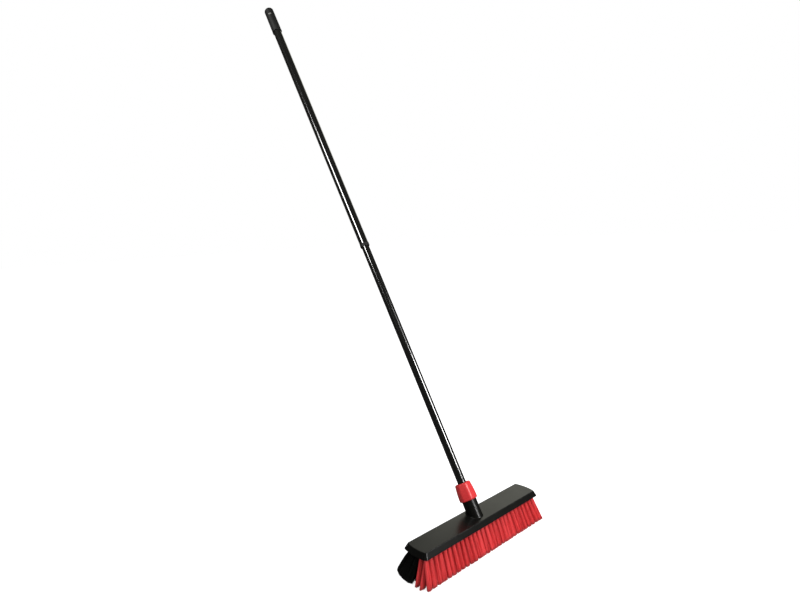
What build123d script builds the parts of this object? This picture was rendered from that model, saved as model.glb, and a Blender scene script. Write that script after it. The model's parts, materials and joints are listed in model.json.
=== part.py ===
from build123d import *
import math
import os

# Push broom with a telescoping handle.
# Millimetres. +Z is up and the floor is Z = 0. The origin is on the floor under the middle of the head.
# The head runs along X, its front with the red bristles faces -Y, and the handle leans back towards +Y.
# Pieces of the handle are drawn upright, with their height counted along the handle from the top of the head,
# and are then leaned back together.

# Head cover
HEAD_LENGTH = 362.9
HEAD_DEPTH = 66.0
END_BOW = 4.0
HEAD_TOP = 65.3
COVER_HEIGHT = 12.2
COVER_INSET_ENDS = 5.9
COVER_INSET_SIDES = 6.4
COVER_CORNER_LIP = 7.0
COVER_CORNER_TOP = 4.5
COVER_TOP_ROUND = 1.5
COVER_LIP_ROUND = 0.8
COVER_ROOF = 3.0
COVER_WALL = 2.5

# Socket on the cover, with the threaded neck for the lock nut
HANDLE_LEAN = 30.0
HANDLE_BACK = 1.95
SOCKET_SHOULDER = 4.2
SOCKET_RISE = 31.0
SOCKET_FLOOR = 2.7
SOCKET_FOOT_ROUND = 2.0
NECK_WALL = 2.35
NECK_LENGTH = 19.0
NECK_MOUTH_WALL = 0.8
NECK_MOUTH_DEPTH = 8.0

# Thread of the neck and the nut
THREAD_PITCH = 4.0
THREAD_HEIGHT = 1.0
THREAD_FOOT = 1.6
THREAD_CREST = 0.9
THREAD_START = 4.0
THREAD_RUNOUT = 3.0
THREAD_GAP = 0.4
THREAD_ROOT = 0.3

# Lock nut
NUT_LENGTH = 38.0
NUT_CORNER_WALL_FOOT = 8.3
NUT_CORNER_WALL_MIDDLE = 7.8
NUT_CORNER_WALL_TOP = 5.1
NUT_SIDES = 6
NUT_TURN = 7.0
NUT_CORNER_ROUND = 9.0
NUT_RIM_ROUND = 3.0
NUT_SEAT_GAP = 0.4

# Collet under the nut
COLLET_SEAT = 0.7
COLLET_RIM = 6.4
COLLET_SLOT = 2.0
COLLET_GAP = 0.3

# Brush block and its screws
BLOCK_DROP = 3.2
BLOCK_GAP = 0.3
BLOCK_CORNER = 6.0
SCREW_DIAMETER = 3.0
SCREW_HEAD_DIAMETER = 5.4
SCREW_HEAD_HEIGHT = 2.0
SCREW_BITE = 4.8
SCREW_BOSS_DIAMETER = 8.0
SCREW_BOSS_HEIGHT = 3.5
SCREW_END_MARGIN = 18.0
SCREW_SOCKET_MARGIN = 20.0
SCREW_PAIRS = 3

# Bristle rows: the red ones stand in front of a bare lane, the black ones behind it
RED_ROWS = 3
BLACK_ROWS = 4
TUFTS = 28
LANE_WIDTH = 6.0
ROW_MARGIN = 0.5
SLICE_GAP = 0.4
SLICE_THICKNESS = 2.5
SLICE_END_GAP = 0.5
TUFT_END_MARGIN = 2.5
RED_STRANDS = 3
BLACK_STRANDS = 2
RED_STRAND_ROOT = (1.3, 1.6)
RED_STRAND_TIP = (2.8, 3.2)
BLACK_STRAND_ROOT = (2.2, 1.2)
BLACK_STRAND_TIP = (5.0, 3.2)
STRAND_ROOT_STEP = 1.6
RED_TIP_STEP = 3.5
STRAND_SINK = 1.2
STRAND_TRIM = 0.5
FRONT_FLARE = 9.2
RED_LANE_FLARE = 13.6
BLACK_LANE_FLARE = 3.6
BACK_FLARE = 21.3
RED_END_SPLAY = (10.8, 26.5, 18.1)
BLACK_END_SPLAY = (32.7, 21.0, 26.0, 13.4)
SPLAY_POWER = 2.0

# Handle tubes
LOWER_DIAMETER = 19.0
LOWER_WALL = 0.6
LOWER_SHOWN = 601.6
LOWER_OVERLAP = 70.0
TELESCOPE_GAP = 1.0
UPPER_WALL = 0.5
UPPER_SHOWN = 690.8
SOCKET_FIT = 0.15
SLIDE_FIT = 0.25
PRESS_FIT = 0.05

# Foot plug of the lower tube
FOOT_FLANGE = 1.2
FOOT_SPIGOT = 14.0
FOOT_GAP = 0.3

# Joint collar on the upper tube
COLLAR_LENGTH = 8.0
COLLAR_WALL = 0.75
COLLAR_LIP = 3.0
COLLAR_GUIDE = 22.0
COLLAR_ROUND = 0.5

# Twist lock inside the joint
STUD_SPIGOT = 30.0
STUD_FLANGE = 3.0
STUD_JOURNAL_STEP = 1.0
STUD_ROD_DIAMETER = 6.0
LOCK_RUNNING_GAP = 0.3
SLEEVE_LENGTH = 30.0
SLEEVE_RING = 6.0
SLEEVE_WALL_FOOT = 4.25
SLEEVE_WALL_TOP = 1.75
SLEEVE_SLOT = 2.4
CONE_LENGTH = 22.0
CONE_PROUD = 4.0
CONE_KEY_WIDTH = 1.6
CONE_KEY_HEIGHT = 1.2
CONE_TRAVEL = 3.5
STOP_HEAD_DIAMETER = 10.0
STOP_HEAD_HEIGHT = 2.5
STOP_SHANK_DIAMETER = 3.2
STOP_SHANK_LENGTH = 10.0

# End cap with its hang hole
CAP_LENGTH = 82.8
CAP_PLUG = 12.0
CAP_WALL_FOOT = 2.0
CAP_WALL_TOP = 1.7
CAP_LIP_WALL = 2.5
CAP_LIP_LENGTH = 4.0
CAP_TOP_ROUND = 7.0
CAP_LIP_ROUND = 0.8
HANG_HOLE_DIAMETER = 6.4
HANG_HOLE_DROP = 26.0
HANG_HOLE_TURN = 49.0

# Edges closer than this are at the same height
SAME_PLACE = 0.01

# Heights of the head above the floor
COVER_FOOT = HEAD_TOP - COVER_HEIGHT
COVER_CEILING = HEAD_TOP - COVER_ROOF
BLOCK_FOOT = COVER_FOOT - BLOCK_DROP
SLICE_FOOT = BLOCK_FOOT - SLICE_THICKNESS

# Plan sizes of the cavity and of the block in it
CEILING_SHARE = (COVER_CEILING - COVER_FOOT) / COVER_HEIGHT
CAVITY_LENGTH = HEAD_LENGTH - 2 * COVER_INSET_ENDS * CEILING_SHARE - 2 * COVER_WALL
CAVITY_DEPTH = HEAD_DEPTH - 2 * COVER_INSET_SIDES * CEILING_SHARE - 2 * COVER_WALL
BLOCK_LENGTH = CAVITY_LENGTH - 2 * BLOCK_GAP
BLOCK_DEPTH = CAVITY_DEPTH - 2 * BLOCK_GAP

# Rows of bristles across the block
ROW_GAPS = RED_ROWS + BLACK_ROWS - 2
SLICES_ROOM = BLOCK_DEPTH - 2 * ROW_MARGIN - LANE_WIDTH - ROW_GAPS * SLICE_GAP
SLICE_DEPTH = SLICES_ROOM / (RED_ROWS + BLACK_ROWS)
SLICE_LENGTH = BLOCK_LENGTH - 2 * SLICE_END_GAP
ROW_STEP = SLICE_DEPTH + SLICE_GAP
FIRST_ROW_Y = -BLOCK_DEPTH / 2 + ROW_MARGIN + SLICE_DEPTH / 2
LANE_Y = FIRST_ROW_Y + (RED_ROWS - 1) * ROW_STEP + SLICE_DEPTH / 2 + LANE_WIDTH / 2
FIRST_BLACK_Y = LANE_Y + LANE_WIDTH / 2 + SLICE_DEPTH / 2
TUFT_STEP = (SLICE_LENGTH - 2 * TUFT_END_MARGIN) / (TUFTS - 1)
FRONT_TIP_Y = -HEAD_DEPTH / 2 - FRONT_FLARE
RED_LAST_TIP_Y = LANE_Y - RED_LANE_FLARE
BLACK_FIRST_TIP_Y = LANE_Y + BLACK_LANE_FLARE
BACK_TIP_Y = HEAD_DEPTH / 2 + BACK_FLARE

# Places along the handle, from the top of the head
NECK_TOP = SOCKET_RISE + NECK_LENGTH
NUT_FOOT = SOCKET_RISE + NUT_SEAT_GAP
NUT_TOP = NUT_FOOT + NUT_LENGTH
NUT_CEILING = NECK_TOP + COLLET_SEAT + COLLET_RIM + COLLET_GAP
COLLAR_FOOT = NUT_TOP + LOWER_SHOWN
COLLAR_TOP = COLLAR_FOOT + COLLAR_LENGTH
CAP_FOOT = COLLAR_TOP + UPPER_SHOWN
CAP_TOP = CAP_FOOT + CAP_LENGTH
FOOT_PLUG_BASE = FOOT_GAP
LOWER_FOOT = FOOT_PLUG_BASE + FOOT_FLANGE
LOWER_TOP = COLLAR_FOOT + LOWER_OVERLAP
UPPER_FOOT = COLLAR_FOOT + COLLAR_LIP
UPPER_TOP = CAP_TOP - HANG_HOLE_DROP - HANG_HOLE_DIAMETER / 2 - CAP_PLUG
STUD_SHOULDER = LOWER_TOP + STUD_FLANGE
SLEEVE_FOOT = STUD_SHOULDER + LOCK_RUNNING_GAP
SLEEVE_TOP = SLEEVE_FOOT + SLEEVE_LENGTH
CONE_TOP = SLEEVE_TOP + CONE_PROUD
CONE_FOOT = CONE_TOP - CONE_LENGTH
STUD_TOP = CONE_TOP + CONE_TRAVEL

# Radii that pieces of the handle share
LOWER_RADIUS = LOWER_DIAMETER / 2
LOWER_BORE = LOWER_RADIUS - LOWER_WALL
UPPER_BORE = LOWER_RADIUS + TELESCOPE_GAP
UPPER_RADIUS = UPPER_BORE + UPPER_WALL
SOCKET_BORE = LOWER_RADIUS + SOCKET_FIT
NECK_RADIUS = SOCKET_BORE + NECK_WALL
SOCKET_RADIUS = NECK_RADIUS + SOCKET_SHOULDER
NUT_BORE = NECK_RADIUS + THREAD_HEIGHT + THREAD_GAP
NUT_CORNER_FOOT = NUT_BORE + NUT_CORNER_WALL_FOOT
NUT_CORNER_MIDDLE = NUT_BORE + NUT_CORNER_WALL_MIDDLE
NUT_CORNER_TOP = NUT_BORE + NUT_CORNER_WALL_TOP
COLLAR_RADIUS = UPPER_RADIUS + COLLAR_WALL
SLEEVE_RADIUS = UPPER_BORE - SLIDE_FIT
SLEEVE_TAPER_FOOT = SLEEVE_RADIUS - SLEEVE_WALL_FOOT
SLEEVE_TAPER_TOP = SLEEVE_RADIUS - SLEEVE_WALL_TOP
STUD_JOURNAL = SLEEVE_TAPER_FOOT - STUD_JOURNAL_STEP
CAP_LIP_RADIUS = UPPER_RADIUS + CAP_LIP_WALL

# The handle's own frame: its origin is where the axis meets the top of the head
LEAN = math.radians(HANDLE_LEAN)
HANDLE = Plane(
    origin=(0, HANDLE_BACK, HEAD_TOP),
    x_dir=(1, 0, 0),
    z_dir=(0, math.sin(LEAN), math.cos(LEAN)),
)


def save(node, shape):
    """Writes one piece as parts/NODE.step."""
    export_step(shape, os.path.join("parts", node + ".step"))


def on_handle(shape):
    """Leans an upright piece back into its place on the handle."""
    return shape.moved(HANDLE.location)


def turned(*points):
    """A solid of revolution about the upright axis, from (radius, height) points."""
    outline = Polyline(*[(radius, 0, height) for radius, height in points], close=True)
    return revolve(make_face(outline), Axis.Z)


def rod(radius, low, high):
    """An upright round bar between two heights."""
    return turned((0, low), (radius, low), (radius, high), (0, high))


def pipe(radius, bore, low, high):
    """An upright tube between two heights."""
    return turned((bore, low), (radius, low), (radius, high), (bore, high))


def slab(length, depth, corner, low, high):
    """A flat plate with rounded plan corners between two heights."""
    plan = Plane.XY.offset(low) * RectangleRounded(length, depth, corner)
    return extrude(plan, high - low)


def circles_at(shape, height):
    """The round edges of an upright piece at one height."""
    rings = shape.edges().filter_by(GeomType.CIRCLE)
    return rings.filter_by_position(Axis.Z, height - SAME_PLACE, height + SAME_PLACE)


def thread_ridge(radius, start, outward):
    """One helical thread ridge that stands out of, or into, a round wall."""
    length = NECK_LENGTH - THREAD_START - THREAD_RUNOUT
    path = Plane.XY.offset(start) * Helix(THREAD_PITCH, length, radius)
    section = Plane(origin=path @ 0, x_dir=(outward, 0, 0), z_dir=path % 0)
    root = (-THREAD_ROOT, THREAD_FOOT / 2)
    crest = (THREAD_HEIGHT, THREAD_CREST / 2)
    profile = Polyline(root, crest, (crest[0], -crest[1]), (root[0], -root[1]), close=True)
    return sweep(section * make_face(profile), path=path, is_frenet=True)


def screw_places():
    """Where the block screws stand along X: pairs on both sides of the socket."""
    first = SOCKET_RADIUS + SCREW_SOCKET_MARGIN
    last = BLOCK_LENGTH / 2 - SCREW_END_MARGIN
    step = (last - first) / (SCREW_PAIRS - 1)
    right = [first + step * pair for pair in range(SCREW_PAIRS)]
    return [-x for x in reversed(right)] + right


def socket_body():
    """The leaning socket with its neck, cut off level inside the cover."""
    barrel = rod(SOCKET_RADIUS, -2 * SOCKET_RADIUS, SOCKET_RISE) + rod(NECK_RADIUS, SOCKET_RISE, NECK_TOP)
    return on_handle(barrel)


def socket_boss_foot():
    """The height at which the socket's boss ends under the cover's roof."""
    return HEAD_TOP - SOCKET_BORE * math.sin(LEAN) - SOCKET_FLOOR


def bowed_plan(length, depth, corner, height):
    """The cover's outline at one height: straight sides, ends that bow outwards and rounded corners."""
    x = length / 2
    y = depth / 2
    front = Line((-x, -y), (x, -y))
    right = ThreePointArc((x, -y), (x + END_BOW, 0), (x, y))
    back = Line((x, y), (-x, y))
    left = ThreePointArc((-x, y), (-x - END_BOW, 0), (-x, -y))
    plan = make_face([front, right, back, left])
    plan = fillet(plan.vertices(), corner)
    return Plane.XY.offset(height) * plan


def make_head_cover():
    lip = bowed_plan(HEAD_LENGTH, HEAD_DEPTH, COVER_CORNER_LIP, COVER_FOOT)
    top_length = HEAD_LENGTH - 2 * COVER_INSET_ENDS
    top_depth = HEAD_DEPTH - 2 * COVER_INSET_SIDES
    top = bowed_plan(top_length, top_depth, COVER_CORNER_TOP, HEAD_TOP)
    cover = loft([lip, top], ruled=True)
    cover = fillet(cover.faces().sort_by(Axis.Z)[-1].edges(), COVER_TOP_ROUND)
    cover = fillet(cover.faces().sort_by(Axis.Z)[0].edges(), COVER_LIP_ROUND)
    cover -= slab(CAVITY_LENGTH, CAVITY_DEPTH, BLOCK_CORNER + BLOCK_GAP, COVER_FOOT, COVER_CEILING)

    # the leaning socket, kept above its boss's level foot
    room = 8 * SOCKET_RADIUS
    above = Pos(0, HANDLE_BACK, socket_boss_foot() + room / 2) * Box(room, room, room)
    cover += socket_body() & above
    seam = [
        edge
        for edge in cover.edges().filter_by(GeomType.ELLIPSE)
        if abs(edge.center().Z - HEAD_TOP) < SAME_PLACE
    ]
    cover = fillet(seam, SOCKET_FOOT_ROUND)
    cover += on_handle(thread_ridge(NECK_RADIUS, SOCKET_RISE + THREAD_START, 1))

    # the bore for the tube, with a tapered mouth for the collet
    mouth = NECK_RADIUS - NECK_MOUTH_WALL
    cover -= on_handle(rod(SOCKET_BORE, 0, NECK_TOP + NECK_LENGTH))
    cover -= on_handle(
        turned(
            (0, NECK_TOP - NECK_MOUTH_DEPTH),
            (SOCKET_BORE, NECK_TOP - NECK_MOUTH_DEPTH),
            (mouth, NECK_TOP),
            (mouth, NECK_TOP + NECK_LENGTH),
            (0, NECK_TOP + NECK_LENGTH),
        )
    )

    # bosses for the block screws
    for x in screw_places():
        boss_foot = COVER_CEILING - SCREW_BOSS_HEIGHT
        boss = rod(SCREW_BOSS_DIAMETER / 2, boss_foot, COVER_CEILING + COVER_ROOF / 2)
        pilot = rod(SCREW_DIAMETER / 2 + PRESS_FIT, boss_foot, screw_tip() + PRESS_FIT)
        cover += Pos(x, LANE_Y, 0) * boss
        cover -= Pos(x, LANE_Y, 0) * pilot
    return cover


def screw_tip():
    """The height that the block screws reach in the cover's bosses."""
    return COVER_CEILING - SCREW_BOSS_HEIGHT + SCREW_BITE


def make_brush_block():
    block = slab(BLOCK_LENGTH, BLOCK_DEPTH, BLOCK_CORNER, BLOCK_FOOT, COVER_CEILING)
    boss_foot = socket_boss_foot() - BLOCK_GAP
    half = SOCKET_RADIUS / math.cos(LEAN) + BLOCK_GAP
    front = HANDLE_BACK + (boss_foot - HEAD_TOP) * math.tan(LEAN) - half
    back = HANDLE_BACK + (COVER_CEILING - HEAD_TOP) * math.tan(LEAN) + half
    pocket = slab(2 * (SOCKET_RADIUS + BLOCK_GAP), back - front, BLOCK_CORNER, boss_foot, COVER_CEILING)
    block -= Pos(0, (front + back) / 2, 0) * pocket
    for x in screw_places():
        boss_room = rod(
            SCREW_BOSS_DIAMETER / 2 + BLOCK_GAP,
            COVER_CEILING - SCREW_BOSS_HEIGHT - BLOCK_GAP,
            COVER_CEILING,
        )
        hole = rod(SCREW_DIAMETER / 2 + BLOCK_GAP, BLOCK_FOOT, COVER_CEILING)
        block -= Pos(x, LANE_Y, 0) * boss_room
        block -= Pos(x, LANE_Y, 0) * hole
    return block


def make_block_screws():
    head = rod(SCREW_HEAD_DIAMETER / 2, BLOCK_FOOT - SCREW_HEAD_HEIGHT, BLOCK_FOOT)
    head = fillet(circles_at(head, BLOCK_FOOT - SCREW_HEAD_HEIGHT), SCREW_HEAD_HEIGHT / 2)
    screw = head + rod(SCREW_DIAMETER / 2, BLOCK_FOOT, screw_tip())
    return Compound(children=[Pos(x, LANE_Y, 0) * screw for x in screw_places()])


def strand(root, root_size, tip, tip_size):
    """One four-sided strand from its slice down past the floor, thicker at the tip."""
    top = Plane.XY.offset(SLICE_FOOT + STRAND_SINK) * Pos(*root) * Rectangle(*root_size)
    foot = Plane.XY.offset(-STRAND_TRIM) * Pos(*tip) * Rectangle(*tip_size)
    return loft([foot, top], ruled=True)


def spread(x, end_splay):
    """Where a tuft that starts at x ends: tufts lean outwards more and more towards the ends."""
    last = TUFT_STEP * (TUFTS - 1) / 2
    return x + math.copysign(end_splay * abs(x / last) ** SPLAY_POWER, x)


def bristle_row(row_y, tufts, starts, root_size, ends, tip_size, end_splay):
    """A slice of the block with its tufts: starts and ends are the strands' places in one tuft."""
    slice_height = (SLICE_FOOT + BLOCK_FOOT) / 2
    backing = Pos(0, row_y, slice_height) * Box(SLICE_LENGTH, SLICE_DEPTH, SLICE_THICKNESS)
    strands = []
    for tuft in range(tufts):
        x = TUFT_STEP * (tuft - (tufts - 1) / 2)
        foot_x = spread(x, end_splay)
        for (start_x, start_y), (end_x, end_y) in zip(starts, ends):
            root = (x + start_x, row_y + start_y)
            tip = (foot_x + end_x, end_y)
            strands.append(strand(root, root_size, tip, tip_size))
    row = backing.fuse(*strands)
    floor = Pos(0, 0, -STRAND_TRIM) * Box(2 * HEAD_LENGTH, 8 * HEAD_DEPTH, 2 * STRAND_TRIM)
    return row - floor, len(strands)


def centred(count, step):
    """Offsets of evenly spaced things about their middle."""
    return [step * (index - (count - 1) / 2) for index in range(count)]


def tufts_in(row):
    """Rows are staggered: every second one has a tuft less."""
    return TUFTS - row % 2


def make_red_row(row):
    """Rows are counted from the front, and each tuft's strands fan out along the row."""
    step = (RED_LAST_TIP_Y - FRONT_TIP_Y) / (RED_ROWS - 1)
    tip_y = FRONT_TIP_Y + step * row
    starts = [(offset, 0) for offset in centred(RED_STRANDS, STRAND_ROOT_STEP)]
    ends = [(offset, tip_y) for offset in centred(RED_STRANDS, RED_TIP_STEP)]
    row_y = FIRST_ROW_Y + ROW_STEP * row
    splay = RED_END_SPLAY[row]
    return bristle_row(row_y, tufts_in(row), starts, RED_STRAND_ROOT, ends, RED_STRAND_TIP, splay)


def make_black_row(row):
    """Rows are counted from the lane, and each tuft's strands fan out towards the back."""
    step = (BACK_TIP_Y - BLACK_FIRST_TIP_Y) / (BLACK_ROWS * BLACK_STRANDS - 1)
    first = BLACK_FIRST_TIP_Y + step * BLACK_STRANDS * row
    starts = [(0, offset) for offset in centred(BLACK_STRANDS, STRAND_ROOT_STEP)]
    ends = [(0, first + step * index) for index in range(BLACK_STRANDS)]
    row_y = FIRST_BLACK_Y + ROW_STEP * row
    splay = BLACK_END_SPLAY[row]
    return bristle_row(row_y, tufts_in(row + 1), starts, BLACK_STRAND_ROOT, ends, BLACK_STRAND_TIP, splay)


def nut_section(corner_radius, height):
    hexagon = RegularPolygon(corner_radius, NUT_SIDES)
    hexagon = fillet(hexagon.vertices(), NUT_CORNER_ROUND)
    return Plane.XY.offset(height) * Rot(0, 0, NUT_TURN) * hexagon


def make_lock_nut():
    foot = nut_section(NUT_CORNER_FOOT, NUT_FOOT)
    middle = nut_section(NUT_CORNER_MIDDLE, (NUT_FOOT + NUT_TOP) / 2)
    top = nut_section(NUT_CORNER_TOP, NUT_TOP)
    nut = loft([foot, middle, top])
    nut = fillet(nut.faces().sort_by(Axis.Z)[-1].edges(), NUT_RIM_ROUND)
    nut = fillet(nut.faces().sort_by(Axis.Z)[0].edges(), NUT_RIM_ROUND)

    # inside: the threaded bore, the room for the collet's rim and the hole for the tube
    nut -= rod(NUT_BORE, NUT_FOOT - NUT_LENGTH, NECK_TOP + THREAD_HEIGHT)
    nut -= rod(collet_rim_radius() + COLLET_GAP, NUT_FOOT, NUT_CEILING)
    nut -= rod(LOWER_RADIUS + THREAD_GAP, NUT_FOOT, NUT_TOP + NUT_LENGTH)
    nut += thread_ridge(NUT_BORE, SOCKET_RISE + THREAD_START - THREAD_PITCH / 2, -1)
    return on_handle(nut)


def collet_rim_radius():
    """The collet's rim overlaps the neck's end, inside the nut's threads."""
    return NECK_RADIUS


def make_collet():
    bore = LOWER_RADIUS + PRESS_FIT * 2
    mouth = NECK_RADIUS - NECK_MOUTH_WALL
    slope = (mouth - SOCKET_BORE) / NECK_MOUTH_DEPTH
    rim_foot = NECK_TOP + COLLET_SEAT
    nose = NECK_TOP - NECK_MOUTH_DEPTH + 2 * COLLET_GAP / slope
    nose_radius = SOCKET_BORE + slope * (nose - NECK_TOP + NECK_MOUTH_DEPTH) - COLLET_GAP
    shoulder_radius = mouth - COLLET_GAP
    collet = turned(
        (bore, nose),
        (nose_radius, nose),
        (shoulder_radius, NECK_TOP),
        (shoulder_radius, rim_foot),
        (collet_rim_radius(), rim_foot),
        (collet_rim_radius(), rim_foot + COLLET_RIM),
        (bore, rim_foot + COLLET_RIM),
    )
    slot = Pos(NECK_RADIUS, 0, NECK_TOP) * Box(2 * NECK_RADIUS, COLLET_SLOT, 2 * NUT_LENGTH)
    return on_handle(collet - slot)


def make_lower_tube():
    return on_handle(pipe(LOWER_RADIUS, LOWER_BORE, LOWER_FOOT, LOWER_TOP))


def make_tube_foot():
    spigot = LOWER_BORE - PRESS_FIT
    foot = rod(LOWER_RADIUS, FOOT_PLUG_BASE, LOWER_FOOT) + rod(spigot, LOWER_FOOT, LOWER_FOOT + FOOT_SPIGOT)
    return on_handle(foot)


def make_lock_stud():
    core = STUD_ROD_DIAMETER / 2
    stud = turned(
        (0, LOWER_TOP - STUD_SPIGOT),
        (LOWER_BORE - PRESS_FIT, LOWER_TOP - STUD_SPIGOT),
        (LOWER_BORE - PRESS_FIT, LOWER_TOP),
        (LOWER_RADIUS, LOWER_TOP),
        (LOWER_RADIUS, STUD_SHOULDER),
        (STUD_JOURNAL, STUD_SHOULDER),
        (STUD_JOURNAL, SLEEVE_FOOT + SLEEVE_RING),
        (core, SLEEVE_FOOT + SLEEVE_RING),
        (core, STUD_TOP),
        (0, STUD_TOP),
    )
    stud -= rod(STOP_SHANK_DIAMETER / 2 + PRESS_FIT, STUD_TOP - STOP_SHANK_LENGTH - PRESS_FIT, STUD_TOP)
    return on_handle(stud)


def make_stop_screw():
    screw = rod(STOP_HEAD_DIAMETER / 2, STUD_TOP, STUD_TOP + STOP_HEAD_HEIGHT)
    screw = fillet(circles_at(screw, STUD_TOP + STOP_HEAD_HEIGHT), STOP_HEAD_HEIGHT / 3)
    screw += rod(STOP_SHANK_DIAMETER / 2, STUD_TOP - STOP_SHANK_LENGTH, STUD_TOP)
    return on_handle(screw)


def taper_radius(height):
    """The sleeve's tapered bore at a height above its ring."""
    share = (height - SLEEVE_FOOT - SLEEVE_RING) / (SLEEVE_LENGTH - SLEEVE_RING)
    return SLEEVE_TAPER_FOOT + (SLEEVE_TAPER_TOP - SLEEVE_TAPER_FOOT) * share


def make_lock_sleeve():
    journal = STUD_JOURNAL + LOCK_RUNNING_GAP
    ring_top = SLEEVE_FOOT + SLEEVE_RING
    sleeve = turned(
        (journal, SLEEVE_FOOT),
        (SLEEVE_RADIUS, SLEEVE_FOOT),
        (SLEEVE_RADIUS, SLEEVE_TOP),
        (taper_radius(SLEEVE_TOP), SLEEVE_TOP),
        (taper_radius(ring_top), ring_top),
        (journal, ring_top),
    )
    slot = Box(2 * SLEEVE_RADIUS, SLEEVE_SLOT, 2 * SLEEVE_LENGTH)
    return on_handle(sleeve - Pos(SLEEVE_RADIUS, 0, ring_top + SLEEVE_LENGTH) * slot)


def make_lock_cone():
    bore = STUD_ROD_DIAMETER / 2 + LOCK_RUNNING_GAP
    cone = turned(
        (bore, CONE_FOOT),
        (taper_radius(CONE_FOOT) - LOCK_RUNNING_GAP, CONE_FOOT),
        (taper_radius(SLEEVE_TOP) - LOCK_RUNNING_GAP, SLEEVE_TOP),
        (taper_radius(SLEEVE_TOP) - LOCK_RUNNING_GAP, CONE_TOP),
        (bore, CONE_TOP),
    )
    reach = taper_radius(SLEEVE_TOP) + CONE_KEY_HEIGHT
    middle = (reach + bore + LOCK_RUNNING_GAP) / 2
    key = Box(reach - bore - LOCK_RUNNING_GAP, CONE_KEY_WIDTH, CONE_LENGTH)
    return on_handle(cone + Pos(middle, 0, (CONE_FOOT + CONE_TOP) / 2) * key)


def make_joint_collar():
    guide_bore = LOWER_RADIUS + SLIDE_FIT
    collar = turned(
        (guide_bore, COLLAR_FOOT),
        (COLLAR_RADIUS, COLLAR_FOOT),
        (COLLAR_RADIUS, COLLAR_TOP),
        (UPPER_RADIUS + PRESS_FIT, COLLAR_TOP),
        (UPPER_RADIUS + PRESS_FIT, UPPER_FOOT),
        (UPPER_BORE - PRESS_FIT, UPPER_FOOT),
        (UPPER_BORE - PRESS_FIT, UPPER_FOOT + COLLAR_GUIDE),
        (guide_bore, UPPER_FOOT + COLLAR_GUIDE),
    )
    rim = circles_at(collar, COLLAR_FOOT).sort_by(SortBy.RADIUS)[-1]
    return on_handle(fillet(rim, COLLAR_ROUND))


def make_upper_tube():
    return on_handle(pipe(UPPER_RADIUS, UPPER_BORE, UPPER_FOOT, UPPER_TOP))


def make_end_cap():
    cap = turned(
        (0, CAP_FOOT),
        (CAP_LIP_RADIUS, CAP_FOOT),
        (UPPER_RADIUS + CAP_WALL_FOOT, CAP_FOOT + CAP_LIP_LENGTH),
        (UPPER_RADIUS + CAP_WALL_TOP, CAP_TOP),
        (0, CAP_TOP),
    )
    cap = fillet(circles_at(cap, CAP_TOP), CAP_TOP_ROUND)
    cap = fillet(circles_at(cap, CAP_FOOT), CAP_LIP_ROUND)
    cap -= rod(UPPER_RADIUS + PRESS_FIT, CAP_FOOT, UPPER_TOP)
    hole = Cylinder(HANG_HOLE_DIAMETER / 2, 4 * CAP_LIP_RADIUS)
    cap -= Pos(0, 0, CAP_TOP - HANG_HOLE_DROP) * Rot(0, 0, HANG_HOLE_TURN) * Rot(0, 90, 0) * hole
    return on_handle(cap)


os.makedirs("parts", exist_ok=True)

save("head_cover", make_head_cover())
save("brush_block", make_brush_block())
save("block_screws", make_block_screws())

strand_total = 0
for row in range(RED_ROWS):
    bristles, strand_count = make_red_row(row)
    strand_total += strand_count
    save("red_bristles_" + str(row + 1), bristles)
for row in range(BLACK_ROWS):
    bristles, strand_count = make_black_row(row)
    strand_total += strand_count
    save("black_bristles_" + str(row + 1), bristles)

save("lock_nut", make_lock_nut())
save("collet", make_collet())
save("lower_tube", make_lower_tube())
save("tube_foot", make_tube_foot())
save("lock_stud", make_lock_stud())
save("stop_screw", make_stop_screw())
save("lock_sleeve", make_lock_sleeve())
save("lock_cone", make_lock_cone())
save("joint_collar", make_joint_collar())
save("upper_tube", make_upper_tube())
save("end_cap", make_end_cap())

print("strands in all:", strand_total)
print("handle from the head's top to the cap's end:", CAP_TOP)
print("tube travel to the nut:", LOWER_SHOWN)
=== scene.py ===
# %% [markdown]
# # A push broom with a telescoping handle
# The solids of this broom were drawn in CAD and packed as a frame of named nodes, each on the body that it
# moves with. This lesson dresses that frame: it gives every moulding and tube its finish, plants real
# bristles where the CAD has plain strands, and lights the broom as a studio would.
# We start from an empty scene and load the frame.

# %% Load the frame
import json
import math
import random

import bmesh
import bpy
import numpy
from mathutils import Matrix, Vector

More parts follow.
